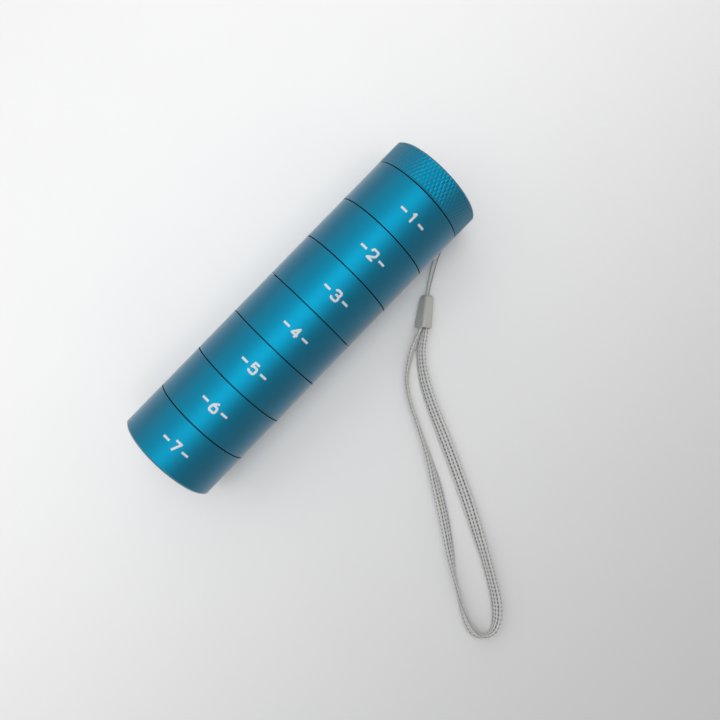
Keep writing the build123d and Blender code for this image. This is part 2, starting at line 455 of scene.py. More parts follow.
@dataclass(frozen=True)
class TableFinish:
    """Smooth white board."""

    white: Colour = (0.80, 0.80, 0.80, 1.0)
    shade: Colour = (0.78, 0.78, 0.785, 1.0)
    roughness: float = 0.6
    gloss: float = 0.25
    cloud: float = 30 * MM

    def material(self) -> bpy.types.Material:
        """Makes the finish.

        Returns:
            The material.
        """
        draft = MaterialDraft("table_board", Roughness=self.roughness, Specular_IOR_Level=self.gloss)
        draft.colour(draft.blend(draft.noise(draft.place(), self.cloud), self.shade, self.white))
        return draft.material


def link_mesh(name: str, points: np.ndarray, faces: list[Face]) -> bpy.types.Object:
    """Makes a mesh and puts it in the scene.

    Args:
        name: The piece's name.
        points: Its points, one to a row.
        faces: The points of each face, by number.

    Returns:
        The piece.
    """
    mesh = bpy.data.meshes.new(name)
    mesh.from_pydata(points.reshape(-1, 3).tolist(), [], faces)
    piece = bpy.data.objects.new(name, mesh)
    bpy.context.scene.collection.objects.link(piece)
    return piece


def grid_faces(rows: int, columns: int, first: int = 0, wrap: bool = False) -> list[Face]:
    """Joins rows of points by four-sided faces.

    Args:
        rows: How many rows there are.
        columns: How many points each row has.
        first: The number of the first point.
        wrap: Whether the last column meets the first.

    Returns:
        The faces.
    """
    faces = []
    for row in range(rows - 1):
        low = first + row * columns
        high = low + columns
        for column in range(columns if wrap else columns - 1):
            after = (column + 1) % columns
            faces.append((low + column, low + after, high + after, high + column))
    return faces


def settle(piece: bpy.types.Object) -> None:
    """Merges doubled points, turns the faces outwards and smooths all edges but sharp ones.

    Args:
        piece: A mesh piece.
    """
    shape = bmesh.new()
    shape.from_mesh(piece.data)
    bmesh.ops.remove_doubles(shape, verts=shape.verts, dist=MERGE_DISTANCE)
    bmesh.ops.dissolve_degenerate(shape, edges=shape.edges, dist=MERGE_DISTANCE)
    bmesh.ops.recalc_face_normals(shape, faces=shape.faces)
    shape.to_mesh(piece.data)
    shape.free()
    piece.data.shade_smooth()
    piece.data.set_sharp_from_angle(angle=SHARP_ANGLE)


def hand_over(piece: bpy.types.Object, body: str, slot: Slot, *materials: bpy.types.Material) -> None:
    """Dresses a piece and sets it on its body.

    Args:
        piece: The piece, in place.
        body: The body that it moves with.
        slot: The record's slot for its finish; not used.
        materials: Its finish, and any others for faces that are marked later.
    """
    piece.data.materials.clear()
    for material in materials:
        piece.data.materials.append(material)
    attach(piece, body)


def add_spline(data: bpy.types.Curve, points: np.ndarray) -> None:
    """Adds a smooth spline to a curve.

    Args:
        data: The curve.
        points: The spline's control points, two of them in one place for a sharp corner.
    """
    spline = data.splines.new("NURBS")
    spline.points.add(len(points) - 1)
    for control, point in zip(spline.points, points):
        control.co = (*point, 1.0)
    spline.order_u = 3
    spline.use_endpoint_u = True


def mesh_of(data: bpy.types.Curve) -> bpy.types.Mesh:
    """Turns a curve into a mesh and removes the curve.

    Args:
        data: The curve.

    Returns:
        The mesh.
    """
    holder = bpy.data.objects.new(data.name, data)
    bpy.context.scene.collection.objects.link(holder)
    bpy.context.view_layer.update()
    mesh = bpy.data.meshes.new_from_object(holder)
    bpy.data.objects.remove(holder)
    bpy.data.curves.remove(data)
    return mesh


def smooth_step(values: np.ndarray) -> np.ndarray:
    """Returns values eased from 0 to 1."""
    clipped = np.clip(values, 0, 1)
    return clipped * clipped * (3 - 2 * clipped)


@dataclass(frozen=True)
class Thread:
    """A screw thread that is cut into a neck, or stands in a socket."""

    foot_share: float
    top_share: float
    pitch: float = 2.0 * MM
    depth: float = 0.45 * MM
    run_out: float = 0.35 * MM

    def relief(self, x: np.ndarray, angles: np.ndarray, start: float, end: float) -> np.ndarray:
        """Works out how deep the thread is.

        Args:
            x: Places along the axis.
            angles: Angles about the axis.
            start: Where the threaded stretch starts.
            end: Where it ends.

        Returns:
            The depth at each place.
        """
        phase = (x / self.pitch - angles / FULL_TURN) % 1
        off_middle = np.abs(phase - 0.5)
        flank = (self.foot_share / 2 - off_middle) / (self.foot_share / 2 - self.top_share / 2)
        fade = smooth_step((x - start) / self.run_out) * smooth_step((end - x) / self.run_out)
        return self.depth * np.clip(flank, 0, 1) * fade

    def rows(self, angles: np.ndarray, radius: float, start: float, end: float) -> list[np.ndarray]:
        """Lays rows of points along the thread's corners, cut off where the threaded stretch ends.

        Args:
            angles: Angles about the axis.
            radius: The radius outside the thread.
            start: Where the threaded stretch starts.
            end: Where it ends.

        Returns:
            The rows, each of (x, radius) by angle, towards the end.
        """
        corners = [0.0]
        for share in (-self.foot_share, -self.top_share, self.top_share, self.foot_share):
            corners.append(0.5 + share / 2)
        first_turn = math.floor(start / self.pitch) - 1
        last_turn = math.ceil(end / self.pitch)
        rows = []
        for turn in range(first_turn, last_turn + 1):
            for corner in corners:
                x = np.clip(self.pitch * (turn + corner + angles / FULL_TURN), start, end)
                rows.append(np.stack([x, radius - self.relief(x, angles, start, end)], axis=1))
        return rows


@dataclass(frozen=True)
class Joint:
    """Sizes that the cups and the cap share at their screwed joints."""

    radius: float
    axis_height: float
    cap_x: float
    cap_height: float
    cup_height: float
    neck_height: float
    socket_wall: float = 1.4 * MM
    neck_wall: float = 1.9 * MM
    thread_clearance: float = 0.2 * MM
    socket_end_clearance: float = 0.4 * MM
    groove_width: float = 1.2 * MM
    groove_depth: float = 1.0 * MM
    seam_half_width: float = 0.17 * MM
    seam_foot: float = 0.14 * MM
    seam_depth: float = 1.0 * MM
    edge_break: float = 0.04 * MM
    neck_chamfer: float = 0.35 * MM
    mouth_chamfer: float = 0.25 * MM
    socket_chamfer: float = 0.3 * MM
    male: Thread = Thread(foot_share=0.55, top_share=0.25)
    female: Thread = Thread(foot_share=0.45, top_share=0.15)

    @classmethod
    def from_frame(cls) -> "Joint":
        """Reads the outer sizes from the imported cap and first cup.

        Returns:
            The joint.
        """
        cap_low, cap_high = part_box("cap")
        cup_low, cup_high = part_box("sunday_cup")
        return cls(
            radius=(cup_high.z - cup_low.z) / 2,
            axis_height=(cup_high.z + cup_low.z) / 2,
            cap_x=cap_low.x,
            cap_height=cap_high.x - cap_low.x,
            cup_height=cap_low.x - cup_low.x,
            neck_height=cup_high.x - cap_low.x,
        )

    @property
    def socket_radius(self) -> float:
        """The socket's inner radius."""
        return self.radius - self.socket_wall

    @property
    def neck_radius(self) -> float:
        """The neck's outer radius."""
        return self.socket_radius - self.thread_clearance

    @property
    def cavity_radius(self) -> float:
        """The inner radius of a compartment."""
        return self.neck_radius - self.neck_wall

    @property
    def socket_depth(self) -> float:
        """How deep a socket is."""
        return self.neck_height + self.socket_end_clearance

    @staticmethod
    def plain(angles: np.ndarray, x: float, radius: float) -> np.ndarray:
        """Returns one row of points on a circle."""
        return np.full((len(angles), 2), (x, radius))

    def seam_rows(self, angles: np.ndarray, side: Side) -> list[np.ndarray]:
        """Makes one steep side of a joint's seam.

        Args:
            angles: Angles about the axis.
            side: The piece that it is cut into.

        Returns:
            The rows, from the joint's face outwards.
        """
        way = side.value
        lip = self.seam_half_width + self.edge_break
        return [
            self.plain(angles, 0, self.radius - self.seam_depth),
            self.plain(angles, way * self.seam_foot, self.radius - self.seam_depth),
            self.plain(angles, way * self.seam_half_width, self.radius - self.edge_break),
            self.plain(angles, way * lip, self.radius),
        ]

    def socket_rows(self, angles: np.ndarray) -> list[np.ndarray]:
        """Makes a threaded socket.

        Args:
            angles: Angles about the axis.

        Returns:
            The rows, from the middle of the socket's roof to its rim.
        """
        depth, radius = self.socket_depth, self.socket_radius
        thread = self.female.rows(angles, radius, self.socket_chamfer, depth - self.socket_end_clearance)
        return [
            self.plain(angles, depth, 0),
            self.plain(angles, depth, radius),
            *thread[::-1],
            self.plain(angles, self.socket_chamfer, radius),
            self.plain(angles, 0, radius + self.socket_chamfer),
            *self.seam_rows(angles, Side.UPPER),
        ]

    def neck_rows(self, angles: np.ndarray) -> list[np.ndarray]:
        """Makes a threaded neck, with x from the joint's face.

        Args:
            angles: Angles about the axis.

        Returns:
            The rows, from the outer wall's rim to the compartment's mouth.
        """
        groove_radius = self.neck_radius - self.groove_depth
        end = self.neck_height
        thread = self.male.rows(angles, self.neck_radius, self.groove_width, end - self.neck_chamfer)
        return [
            *self.seam_rows(angles, Side.LOWER)[::-1],
            self.plain(angles, 0, groove_radius),
            self.plain(angles, self.groove_width, groove_radius),
            self.plain(angles, self.groove_width, self.neck_radius),
            *thread,
            self.plain(angles, end - self.neck_chamfer, self.neck_radius),
            self.plain(angles, end, self.neck_radius - self.neck_chamfer),
            self.plain(angles, end, self.cavity_radius + self.mouth_chamfer),
            self.plain(angles, end - self.mouth_chamfer, self.cavity_radius),
        ]

    def turn(self, angles: np.ndarray, rows: list[np.ndarray], x: float) -> np.ndarray:
        """Sets rows of (x, radius) on the tube's axis.

        Args:
            angles: Angles about the axis.
            rows: The rows.
            x: Where the rows' own zero is.

        Returns:
            The points, by row and angle.
        """
        sections = np.stack(rows)
        along, radius = sections[..., 0], sections[..., 1]
        high = self.axis_height + radius * np.sin(angles)
        return np.stack([x + along, radius * np.cos(angles), high], axis=-1)

    def mark_seams(self, piece: bpy.types.Object, *planes: float) -> None:
        """Gives the faces of a piece that lie inside a joint's seam the piece's second finish, the seam's
        painted shade.

        Args:
            piece: The piece, dressed and in place.
            planes: Where the joints' faces are.
        """
        for face in piece.data.polygons:
            x, y, z = face.center
            depth = self.radius - math.hypot(y, z - self.axis_height)
            near = min(abs(x - plane) for plane in planes) < self.seam_half_width
            inside = self.edge_break < depth < self.seam_depth + self.edge_break
            face.material_index = int(near and inside)


@dataclass
class Cup:
    """One compartment, with a neck above and a socket or a flat base below."""

    joint: Joint
    number: int
    floor_thickness: float = 1.5 * MM
    base_thickness: float = 2.0 * MM
    base_chamfer: float = 0.6 * MM
    cavity_fillet: float = 1.5 * MM
    fillet_steps: int = 8
    segments: int = 160

    @property
    def node(self) -> str:
        """The name of the cup's node and body."""
        return f"{DAYS[self.number - 1]}_cup"

    @property
    def x(self) -> float:
        """Where the cup's lower face is."""
        return self.joint.cap_x - self.number * self.joint.cup_height

    def lower_rows(self, angles: np.ndarray) -> list[np.ndarray]:
        """Makes the cup's lower end: a socket, or the last cup's flat base.

        Args:
            angles: Angles about the axis.

        Returns:
            The rows, from the axis to the outer wall.
        """
        joint = self.joint
        if self.number < len(DAYS):
            return joint.socket_rows(angles)
        return [
            joint.plain(angles, 0, 0),
            joint.plain(angles, 0, joint.radius - self.base_chamfer),
            joint.plain(angles, self.base_chamfer, joint.radius),
        ]

    def floor_rows(self, angles: np.ndarray) -> list[np.ndarray]:
        """Makes the compartment's rounded floor.

        Args:
            angles: Angles about the axis.

        Returns:
            The rows, from the compartment's wall to the axis.
        """
        joint = self.joint
        floor = joint.socket_depth + self.floor_thickness
        if self.number == len(DAYS):
            floor = self.base_thickness
        rows = []
        for step in range(self.fillet_steps + 1):
            turn = math.pi / 2 * step / self.fillet_steps
            x = floor + self.cavity_fillet * (1 - math.sin(turn))
            radius = joint.cavity_radius - self.cavity_fillet * (1 - math.cos(turn))
            rows.append(joint.plain(angles, x, radius))
        return [*rows, joint.plain(angles, floor, 0)]

    def build(self, material: bpy.types.Material, seam: bpy.types.Material) -> bpy.types.Object:
        """Makes the cup and sets it on its body.

        Args:
            material: Its finish.
            seam: The painted shade finish inside its seams.

        Returns:
            The piece.
        """
        angles = np.linspace(0, FULL_TURN, self.segments + 1)
        neck = [row + (self.joint.cup_height, 0) for row in self.joint.neck_rows(angles)]
        rows = self.lower_rows(angles) + neck + self.floor_rows(angles)
        points = self.joint.turn(angles, rows, self.x)
        piece = link_mesh(f"{self.node}_body", points, grid_faces(len(rows), len(angles)))
        settle(piece)
        hand_over(piece, self.node, Slot.ANODISED, material, seam)
        self.joint.mark_seams(piece, self.x, self.x + self.joint.cup_height)
        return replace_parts(piece, self.node)


@dataclass
class CupMark:
    """A numeral between two bars, burnt into a cup's wall, with its top towards the cap."""

    cup: Cup
    turn_degrees: float
    height: float = 2.95 * MM
    width: float = 2.0 * MM
    stroke: float = 0.7 * MM
    bar_start: float = 2.4 * MM
    bar_end: float = 4.6 * MM
    stand: float = 0.015 * MM
    curve_steps: int = 12
    side_steps: int = 2

    def strokes(self) -> list[np.ndarray]:
        """Lays out the numeral and its bars, with the numeral's middle at the origin.

        Returns:
            The control points of each stroke.
        """
        numeral = (np.array(NUMERALS[self.cup.number - 1]) - 0.5) * (self.width, self.height)
        bars = [np.array([(side * self.bar_start, 0), (side * self.bar_end, 0)]) for side in (-1, 1)]
        return [numeral, *bars]

    def tubes(self) -> bpy.types.Mesh:
        """Draws a round tube along every stroke.

        Returns:
            The tubes, as one mesh.
        """
        data = bpy.data.curves.new("numeral", "CURVE")
        data.dimensions = "3D"
        data.resolution_u = self.curve_steps
        data.bevel_depth = self.stroke / 2
        data.bevel_resolution = self.side_steps
        data.use_fill_caps = True
        for controls in self.strokes():
            add_spline(data, np.pad(controls, ((0, 0), (0, 1))))
        return mesh_of(data)

    def build(self, material: bpy.types.Material) -> bpy.types.Object:
        """Flattens the strokes onto the cup's wall and sets them on the cup's body.

        Args:
            material: Their finish.

        Returns:
            The piece.
        """
        mesh = self.tubes()
        joint = self.cup.joint
        flat = np.array([vertex.co for vertex in mesh.vertices])
        angle = math.radians(self.turn_degrees) + flat[:, 0] / joint.radius
        radius = joint.radius + flat[:, 2] * self.stand / (self.stroke / 2)
        along = self.cup.x + joint.cup_height / 2 + flat[:, 1]
        high = joint.axis_height + radius * np.cos(angle)
        bent = np.stack([along, -radius * np.sin(angle), high], axis=1)
        mesh.vertices.foreach_set("co", bent.astype(np.float32).ravel())
        piece = bpy.data.objects.new(f"{self.cup.node}_mark", mesh)
        bpy.context.scene.collection.objects.link(piece)
        settle(piece)
        hand_over(piece, self.cup.node, Slot.ANODISED, material)
        return piece


@dataclass
class Cap:
    """The knurled cap, with a threaded socket below and the lanyard's tunnel through its flank."""

    joint: Joint
    diamonds: int = 80
    diamond_rows: int = 3
    knurl_depth: float = 0.13 * MM
    land_share: float = 0.3
    lip_chamfer: float = 0.2 * MM
    end_chamfer: float = 0.5 * MM
    tunnel_angle: float = math.radians(40.5)
    tunnel_radius: float = 2.1 * MM
    tunnel_bore: float = 0.75 * MM
    tunnel_segments: int = 48

    @property
    def knurl_start(self) -> float:
        """Where the knurl starts, from the joint's face."""
        return self.joint.seam_half_width + self.lip_chamfer

    @property
    def half_row(self) -> float:
        """Half a diamond's height along the tube."""
        return (self.joint.cap_height - self.end_chamfer - self.knurl_start) / (2 * self.diamond_rows)

    def column_steps(self) -> np.ndarray:
        """Places the columns of points round the cap, one in each groove and two on each land.

        Returns:
            The place of each column, in half diamonds, with the first once more at the end.
        """
        steps = []
        for root in range(0, 2 * self.diamonds, 2):
            steps += [root, root + 1 - self.land_share, root + 1 + self.land_share]
        return np.array([*steps, 2 * self.diamonds], float)

    def step_angle(self, step: np.ndarray | float) -> np.ndarray | float:
        """Returns the angle of a place round the cap."""
        return step * math.pi / self.diamonds

    def knurl_point(self, step: float, row: float, depth: float = 0.0) -> Point:
        """Places a point of the knurl.

        Args:
            step: Its place round the cap, in half diamonds.
            row: Its place along the cap, in half diamonds.
            depth: How far it lies below the tips.

        Returns:
            The point.
        """
        angle = self.step_angle(step)
        radius = self.joint.radius - depth
        x = self.joint.cap_x + self.knurl_start + row * self.half_row
        return x, radius * math.cos(angle), self.joint.axis_height + radius * math.sin(angle)

    def diamond(self, step: int, row: int) -> list[list[Point]]:
        """Makes one diamond: a small land with a flank down to each groove.

        Args:
            step: Its middle's place round the cap.
            row: Its middle's place along the cap.

        Returns:
            The corners of each face.
        """
        last_row = 2 * self.diamond_rows
        arms = [arm for arm in ((1, 0), (0, 1), (-1, 0), (0, -1)) if 0 <= row + arm[1] <= last_row]
        share = self.land_share
        roots = [self.knurl_point(step + aside, row + along, self.knurl_depth) for aside, along in arms]
        lands = [self.knurl_point(step + aside * share, row + along * share) for aside, along in arms]
        faces = [lands]
        for here, (_, along) in enumerate(arms):
            after = (here + 1) % len(arms)
            if along or arms[after][1]:
                faces.append([roots[here], roots[after], lands[after], lands[here]])
        return faces

    def knurl(self) -> list[list[Point]]:
        """Makes the whole knurl.

        Returns:
            The corners of each face.
        """
        faces = []
        for row in range(2 * self.diamond_rows + 1):
            for step in range(2 * self.diamonds):
                if (step + row) % 2:
                    faces += self.diamond(step, row)
        return faces

    def run_out(self, angles: np.ndarray, x: float) -> np.ndarray:
        """Makes one edge of the knurl, low in the grooves and high on the lands.

        Args:
            angles: The angles of the columns.
            x: Where the edge is, from the joint's face.

        Returns:
            The row of points.
        """
        row = self.joint.plain(angles, x, self.joint.radius)
        in_groove = self.column_steps() % 2 == 0
        row[in_groove, 1] -= self.knurl_depth
        return row

    def tunnel(self) -> bpy.types.Object:
        """Makes the ring-shaped cutter of the lanyard's tunnel.

        Returns:
            The cutter.
        """
        outward = Vector((0, -math.sin(self.tunnel_angle), -math.cos(self.tunnel_angle)))
        along = Vector((0, -math.cos(self.tunnel_angle), math.sin(self.tunnel_angle)))
        across = along.cross(outward)
        roof_x = self.joint.cap_x + (self.joint.socket_depth + self.joint.cap_height) / 2
        middle = Vector((roof_x, 0, self.joint.axis_height)) + outward * self.joint.radius
        sides = self.tunnel_segments // 2
        points = []
        for big in np.linspace(0, FULL_TURN, self.tunnel_segments, endpoint=False):
            spoke = along * math.cos(big) + outward * math.sin(big)
            for small in np.linspace(0, FULL_TURN, sides, endpoint=False):
                reach = self.tunnel_radius + self.tunnel_bore * math.cos(small)
                points.append(middle + spoke * reach + across * self.tunnel_bore * math.sin(small))
        faces = grid_faces(self.tunnel_segments, sides, wrap=True)
        last = (self.tunnel_segments - 1) * sides
        for side in range(sides):
            after = (side + 1) % sides
            faces.append((last + side, last + after, after, side))
        cutter = link_mesh("tunnel_cutter", np.array(points), faces)
        settle(cutter)
        return cutter

    def shell(self) -> bpy.types.Object:
        """Makes the cap, still without its tunnel.

        Returns:
            The piece.
        """
        joint = self.joint
        angles = self.step_angle(self.column_steps())
        lip_radius = joint.radius - self.knurl_depth - joint.edge_break
        # A lip below the knurl takes the place of the seam's two outer rows
        skirt = [
            *joint.socket_rows(angles)[:-2],
            joint.plain(angles, joint.seam_half_width, lip_radius),
            self.run_out(angles, self.knurl_start),
        ]
        end = [
            self.run_out(angles, joint.cap_height - self.end_chamfer),
            joint.plain(angles, joint.cap_height, joint.radius - self.end_chamfer),
            joint.plain(angles, joint.cap_height, 0),
        ]
        faces, points = [], []
        for rows in (skirt, end):
            faces += grid_faces(len(rows), len(angles), len(points))
            points += joint.turn(angles, rows, joint.cap_x).reshape(-1, 3).tolist()
        for corners in self.knurl():
            faces.append(tuple(range(len(points), len(points) + len(corners))))
            points += corners
        piece = link_mesh("cap_body", np.array(points), faces)
        settle(piece)
        return piece

    def bore(self, piece: bpy.types.Object) -> None:
        """Cuts the lanyard's tunnel.

        Args:
            piece: The cap, still without its tunnel.
        """
        cutter = self.tunnel()
        cut = piece.modifiers.new("tunnel", "BOOLEAN")
        cut.operation = "DIFFERENCE"
        cut.solver = "EXACT"
        cut.object = cutter
        bpy.context.view_layer.update()
        bored = piece.evaluated_get(bpy.context.evaluated_depsgraph_get())
        mesh = bpy.data.meshes.new_from_object(bored)
        piece.modifiers.clear()
        piece.data = mesh
        bpy.data.objects.remove(cutter)
        settle(piece)

    def build(self, material: bpy.types.Material, seam: bpy.types.Material) -> bpy.types.Object:
        """Makes the cap and sets it on its body.

        Args:
            material: Its finish.
            seam: The painted shade finish inside its seam.

        Returns:
            The piece.
        """
        piece = self.shell()
        self.bore(piece)
        hand_over(piece, "cap", Slot.ANODISED, material, seam)
        self.joint.mark_seams(piece, self.joint.cap_x)
        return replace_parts(piece, "cap")


def unit(vectors: np.ndarray) -> np.ndarray:
    """Returns vectors of length one."""
    return vectors / np.linalg.norm(vectors, axis=-1, keepdims=True)


def run_lengths(line: np.ndarray) -> np.ndarray:
    """Returns how far along a line each of its points is."""
    steps = np.linalg.norm(np.diff(line, axis=0), axis=1)
    return np.concatenate([[0.0], np.cumsum(steps)])


def spline_line(points: np.ndarray, spacing: float) -> np.ndarray:
    """Reads evenly spaced points from a smooth spline.

    Args:
        points: The spline's control points.
        spacing: About how far apart the points read are.

    Returns:
        The points.
    """
    data = bpy.data.curves.new("route", "CURVE")
    data.dimensions = "3D"
    data.resolution_u = ROUTE_STEPS
    add_spline(data, points)
    mesh = mesh_of(data)
    line = np.array([vertex.co for vertex in mesh.vertices])
    bpy.data.meshes.remove(mesh)
    places = run_lengths(line)
    count = math.ceil(places[-1] / spacing) + 1
    even = np.linspace(0, places[-1], count)
    return np.stack([np.interp(even, places, line[:, axis]) for axis in range(3)], axis=1)


@dataclass(frozen=True)
class Yarn:
    """The rounded section that is drawn along each yarn or ply."""

    width: float
    thickness: float
    sides: int = 6

    def rings(self, line: np.ndarray, outward: np.ndarray, swell: np.ndarray) -> np.ndarray:
        """Draws the section along a line.

        Args:
            line: The yarn's middle.
            outward: The way its flat side faces at each point.
            swell: How much of its full width it has at each point.

        Returns:
            The points, by ring and side.
        """
        ahead = unit(np.gradient(line, axis=0))
        aside = unit(np.cross(ahead, outward))
        lift = np.cross(aside, ahead)
        rings = []
        for turn in np.linspace(0, FULL_TURN, self.sides, endpoint=False):
            flat = aside * swell[:, None] * (self.width / 2 * math.cos(turn))
            rings.append(line + flat + lift * (self.thickness / 2 * math.sin(turn)))
        return np.stack(rings, axis=1)

    def rises(self, lean: float) -> np.ndarray:
        """Returns how far out each side lies, from 0 to 1, for a lean in radians."""
        turns = np.linspace(0, FULL_TURN, self.sides, endpoint=False)
        return (1 + np.sin(turns + lean)) / 2

    def faces(self, rings: int, first: int) -> list[Face]:
        """Joins the rings of one yarn and closes both of its ends.

        Args:
            rings: How many rings it has.
            first: The number of its first point.

        Returns:
            The faces.
        """
        last = first + (rings - 1) * self.sides
        start_cap = tuple(range(first + self.sides - 1, first - 1, -1))
        end_cap = tuple(range(last, last + self.sides))
        return [start_cap, end_cap, *grid_faces(rings, self.sides, first, wrap=True)]


@dataclass(frozen=True)
class YarnRun:
    """One yarn's course."""

    line: np.ndarray
    facing: np.ndarray
    swell: np.ndarray
    # How far round the yarn its painted shade is turned, in radians
    lean: float = 0.0


def bundle(name: str, yarn: Yarn, runs: list[YarnRun]) -> bpy.types.Object:
    """Makes one mesh of several yarns, with each point's place on its yarn and how far out it lies, which
    sets its painted shade.

    Args:
        name: The piece's name.
        yarn: The yarns' section.
        runs: The yarns' courses.

    Returns:
        The piece.
    """
    points, faces, fibre, rise = [], [], [], []
    for number, run in enumerate(runs):
        line = run.line
        faces += yarn.faces(len(line), sum(map(len, points)))
        points.append(yarn.rings(line, run.facing, run.swell).reshape(-1, 3))
        rise.append(np.tile(yarn.rises(run.lean), len(line)))
        along = np.repeat(run_lengths(line) * YARN_STRETCH, yarn.sides)
        across = np.tile(np.arange(yarn.sides) * yarn.width / 2, len(line))
        shift = np.full(len(along), number * yarn.width * YARN_SHIFT)
        fibre.append(np.stack([along, across, shift], axis=1))
    piece = link_mesh(name, np.concatenate(points), faces)
    places = piece.data.attributes.new(FIBRE, "FLOAT_VECTOR", "POINT")
    places.data.foreach_set("vector", np.concatenate(fibre).astype(np.float32).ravel())
    rises = piece.data.attributes.new(RISE, "FLOAT", "POINT")
    rises.data.foreach_set("value", np.concatenate(rise).astype(np.float32))
    piece.data.shade_smooth()
    return piece


@dataclass
class LanyardString:
    """The thin doubled string: three plies twisted together."""

    diameter: float = 0.5 * MM
    plies: int = 3
    ply_share: float = 0.5
    lay: float = 2.4 * MM
    spacing: float = 0.15 * MM
    real_length: float = 61.9 * MM

    @property
    def ply(self) -> Yarn:
        """The section of one ply."""
        return Yarn(width=self.diameter * self.ply_share, thickness=self.diameter * self.ply_share)

    def twist(self, line: np.ndarray) -> list[YarnRun]:
        """Twists the plies together.

        Args:
            line: The string's middle.

        Returns:
            The plies' courses.
        """
        ahead = unit(np.gradient(line, axis=0))
        lift = np.cross(ahead[0], (0, 0, 1))
        carried = []
        for direction in ahead:
            lift = unit(lift - direction * (lift @ direction))
            carried.append(lift)
        lifts = np.array(carried)
        asides = np.cross(ahead, lifts)
        reach = (self.diameter - self.ply.width) / 2
        runs = []
        for number in range(self.plies):
            turn = FULL_TURN * (number / self.plies + run_lengths(line) / self.lay)
            facing = lifts * np.cos(turn)[:, None] + asides * np.sin(turn)[:, None]
            runs.append(YarnRun(line + facing * reach, facing, np.ones(len(line))))
        return runs

    def build(self, material: bpy.types.Material, sleeve: bpy.types.Object) -> bpy.types.Object:
        """Args:
            material: Its finish.
            sleeve: The sleeve that both of its ends go into; not used.

        Returns:
            The piece.
        """
        line = spline_line(np.array(STRING_ROUTE) * MM, self.spacing)
        piece = bundle("lanyard_string_plies", self.ply, self.twist(line))
        hand_over(piece, "cap", Slot.STRING, material)
        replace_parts(piece, "lanyard_string")
        return piece


@dataclass
class WristStrap:
    """The strap's knitted tape: two layers of arched ribs of swelling stitches, rolled and looped."""

    width: float = 4.3 * MM
    thickness: float = 0.8 * MM
    table_clearance: float = 0.15 * MM
    ribs: int = 4
    stitch: float = 1.25 * MM
    yarn: Yarn = Yarn(width=1.25 * MM, thickness=0.42 * MM, sides=8)
    waist_share: float = 0.52
    arch: float = 0.5 * MM
    # How far the outermost ribs' painted shade is turned, so that the tape's edges stay pale as if lit
    edge_lean: float = math.radians(30)
    spacing: float = 0.16 * MM
    roll_window: int = 21
    real_length: float = 212.8 * MM

    def rest_height(self, roll: np.ndarray | float) -> np.ndarray | float:
        """Returns how high the tape's middle is with its lower edge on the table, for a roll in radians."""
        depth = self.thickness + self.arch
        return (self.width * np.abs(np.sin(roll)) + depth * np.abs(np.cos(roll))) / 2 + self.table_clearance

    def controls(self) -> np.ndarray:
        """Sets the route's free points on the table, between the strap's two ends.

        Returns:
            The route's control points with the tape's roll, as (x, y, z, roll in degrees).
        """
        free = []
        for x, y, roll in STRAP_ROUTE:
            angle = math.radians(roll)
            free.append((x * MM, y * MM, self.rest_height(angle), roll))
        ends = np.array([*STRAP_START, *STRAP_END]) * (MM, MM, MM, 1)
        return np.concatenate([ends[:2], free, ends[2:]])

    def rolls(self, line: np.ndarray, controls: np.ndarray) -> np.ndarray:
        """Works out the tape's roll along its line, in radians.

        Args:
            line: The tape's middle.
            controls: The route's control points with their rolls.

        Returns:
            The roll at each point of the line.
        """
        places = run_lengths(line)
        nearest = [np.argmin(np.linalg.norm(line - control[:3], axis=1)) for control in controls]
        stations = np.maximum.accumulate(places[nearest])
        rolls = np.interp(places, stations, np.radians(controls[:, 3]))
        padded = np.pad(rolls, self.roll_window // 2, mode="edge")
        return np.convolve(padded, np.full(self.roll_window, 1 / self.roll_window), mode="valid")

    def knit(self, line: np.ndarray, rolls: np.ndarray) -> list[YarnRun]:
        """Knits the ribs of both layers on a section that arches like a parabola.

        Args:
            line: The tape's middle.
            rolls: The roll at each point of the line, in radians.

        Returns:
            The ribs' courses.
        """
        ahead = unit(np.gradient(line, axis=0))
        aside = unit(np.cross((0.0, 0.0, 1.0), ahead))
        roll = rolls[:, None]
        across = unit(aside * np.cos(roll) + np.cross(ahead, aside) * np.sin(roll))
        face = np.cross(ahead, across)
        turns = run_lengths(line) / self.stitch
        edge = (self.width - self.yarn.width) / 2
        layer_height = (self.thickness - self.yarn.thickness) / 2
        runs = []
        for layer in (1, -1):
            phase = FULL_TURN * turns + math.pi * (layer < 0)
            swell = 1 - (1 - self.waist_share) * (1 - np.cos(phase)) / 2
            for place in np.linspace(-edge, edge, self.ribs):
                share = 2 * place / self.width
                normal = unit(face + across * (4 * share * self.arch / self.width))
                middle = line + across * place + face * self.arch * (0.5 - share * share)
                # Only the outermost ribs turn their painted shade, leaving the tape's edges pale
                lean = -layer * np.sign(place) * self.edge_lean * (abs(place) == edge)
                runs.append(YarnRun(middle + normal * layer * layer_height, normal * layer, swell, lean))
        return runs

    def build(self, material: bpy.types.Material, sleeve: bpy.types.Object) -> bpy.types.Object:
        """Args:
            material: Its finish.
            sleeve: The sleeve that both of its ends go into; not used.

        Returns:
            The piece.
        """
        controls = self.controls()
        line = spline_line(controls[:, :3], self.spacing)
        rolls = self.rolls(line, controls)
        line[:, 2] = np.maximum(line[:, 2], self.rest_height(rolls))
        piece = bundle("wrist_strap_knit", self.yarn, self.knit(line, rolls))
        hand_over(piece, "cap", Slot.STRAP, material)
        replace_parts(piece, "wrist_strap")
        return piece


